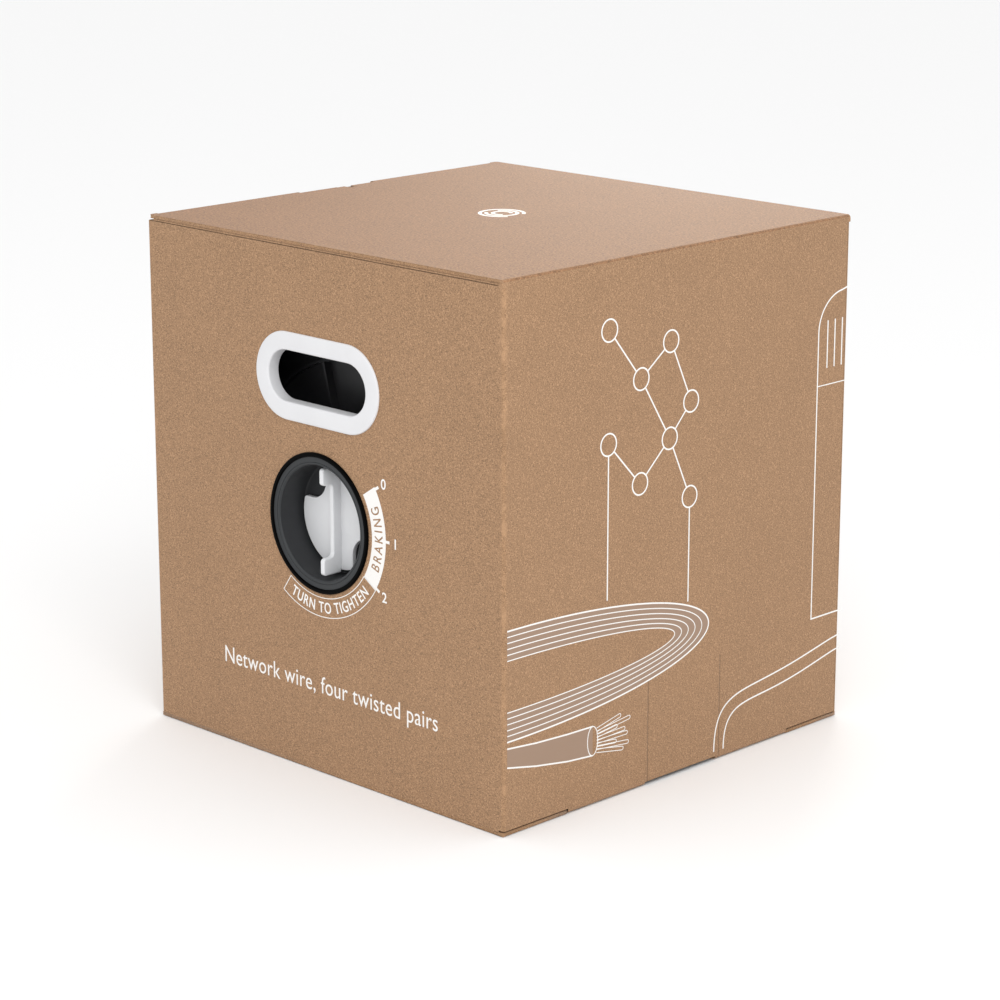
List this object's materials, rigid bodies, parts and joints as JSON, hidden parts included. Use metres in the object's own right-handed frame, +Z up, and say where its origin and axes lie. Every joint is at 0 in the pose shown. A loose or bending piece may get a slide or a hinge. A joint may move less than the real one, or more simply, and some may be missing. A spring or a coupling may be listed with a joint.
{
  "type": "cable spool box",
  "caption": "Folded kraft carton holding a turning reel of network cable, with a hinged lid, hand-holds, a cable outlet and a recessed tension knob.",
  "frame": {"origin": "centre of the base, on the surface that the carton stands on", "axes": "+Z up, -Y out of the wall with the tension knob, +X towards the wall that the lid is hinged on"},
  "size_m": [0.3518, 0.3476, 0.368],
  "materials": {
    "kraft_board": "uncoated kraft liner over fine flutes, matt",
    "white_plastic": "satin moulded polypropylene",
    "black_plastic": "fine spark-eroded texture, satin",
    "reel_plastic": "smooth recycled polystyrene",
    "knob_plastic": "satin light grey",
    "nylon": "natural nylon",
    "steel": "zinc plated",
    "friction_pad": "grooved friction compound",
    "cable_jacket": "black polyethylene jacket"
  },
  "bodies": {
    "carton": {"front_panel": "kraft_board", "rear_panel": "kraft_board", "left_panel": "kraft_board", "right_panel": "kraft_board", "glue_flap": "kraft_board", "bottom_panel": "kraft_board", "bottom_flap_front": "kraft_board", "bottom_flap_rear": "kraft_board", "front_liner": "kraft_board", "rear_liner": "kraft_board", "front_handle_grommet": "white_plastic", "rear_handle_grommet": "white_plastic", "front_handle_backing": "white_plastic", "rear_handle_backing": "white_plastic", "tension_bezel": "black_plastic", "front_lock_ring": "black_plastic", "rear_hub_cup": "black_plastic", "rear_cup_webs": "black_plastic", "rear_lock_ring": "black_plastic", "cable_outlet_grommet": "white_plastic", "cable_outlet_ring": "white_plastic", "spring_retainer": "steel", "return_spring": "steel"},
    "lid": {"lid_panel": "kraft_board"},
    "tuck": {"tuck_flap": "kraft_board"},
    "reel": {"reel_front_flange": "reel_plastic", "reel_front_hub": "reel_plastic", "reel_front_rim": "reel_plastic", "reel_front_ring_rib": "reel_plastic", "reel_front_ribs": "reel_plastic", "reel_rear_flange": "reel_plastic", "reel_rear_hub": "reel_plastic", "reel_rear_rim": "reel_plastic", "reel_rear_ring_rib": "reel_plastic", "reel_rear_ribs": "reel_plastic", "reel_drum": "reel_plastic", "front_bushing": "nylon", "rear_bushing": "nylon", "brake_disc": "steel", "reel_tie_bolts": "steel", "reel_tie_nuts": "steel", "cable_pack": "cable_jacket"},
    "knob": {"tension_knob": "knob_plastic", "tension_cam": "knob_plastic", "knob_screw": "steel", "knob_washer": "steel"},
    "brake": {"pressure_plate": "nylon", "brake_pad": "friction_pad"}
  },
  "joints": [
    {"name": "lid_hinge", "type": "hinge", "parent": "carton", "child": "lid", "pos_m": [0.175, 0, 0.3656], "axis": [0, 1, 0], "range_deg": [0, 180]},
    {"name": "tuck_fold", "type": "hinge", "parent": "lid", "child": "tuck", "pos_m": [-0.1698, 0, 0.3656], "axis": [0, -1, 0], "range_deg": [0, 60]},
    {"name": "reel_spin", "type": "hinge", "parent": "carton", "child": "reel", "pos_m": [0, 0, 0.178], "axis": [0, 1, 0], "continuous": true},
    {"name": "knob_turn", "type": "hinge", "parent": "carton", "child": "knob", "pos_m": [0, -0.15, 0.178], "axis": [0, 1, 0], "range_deg": [-31.5, 31.5]},
    {"name": "brake_travel", "type": "slide", "parent": "carton", "child": "brake", "axis": [0, 1, 0], "range_m": [-0.0011, 0.0011], "deforming": ["return_spring"]}
  ],
  "couplings": [
    {"joint": "brake_travel", "follows": "knob_turn", "m_per_rad": 0.002}
  ]
}
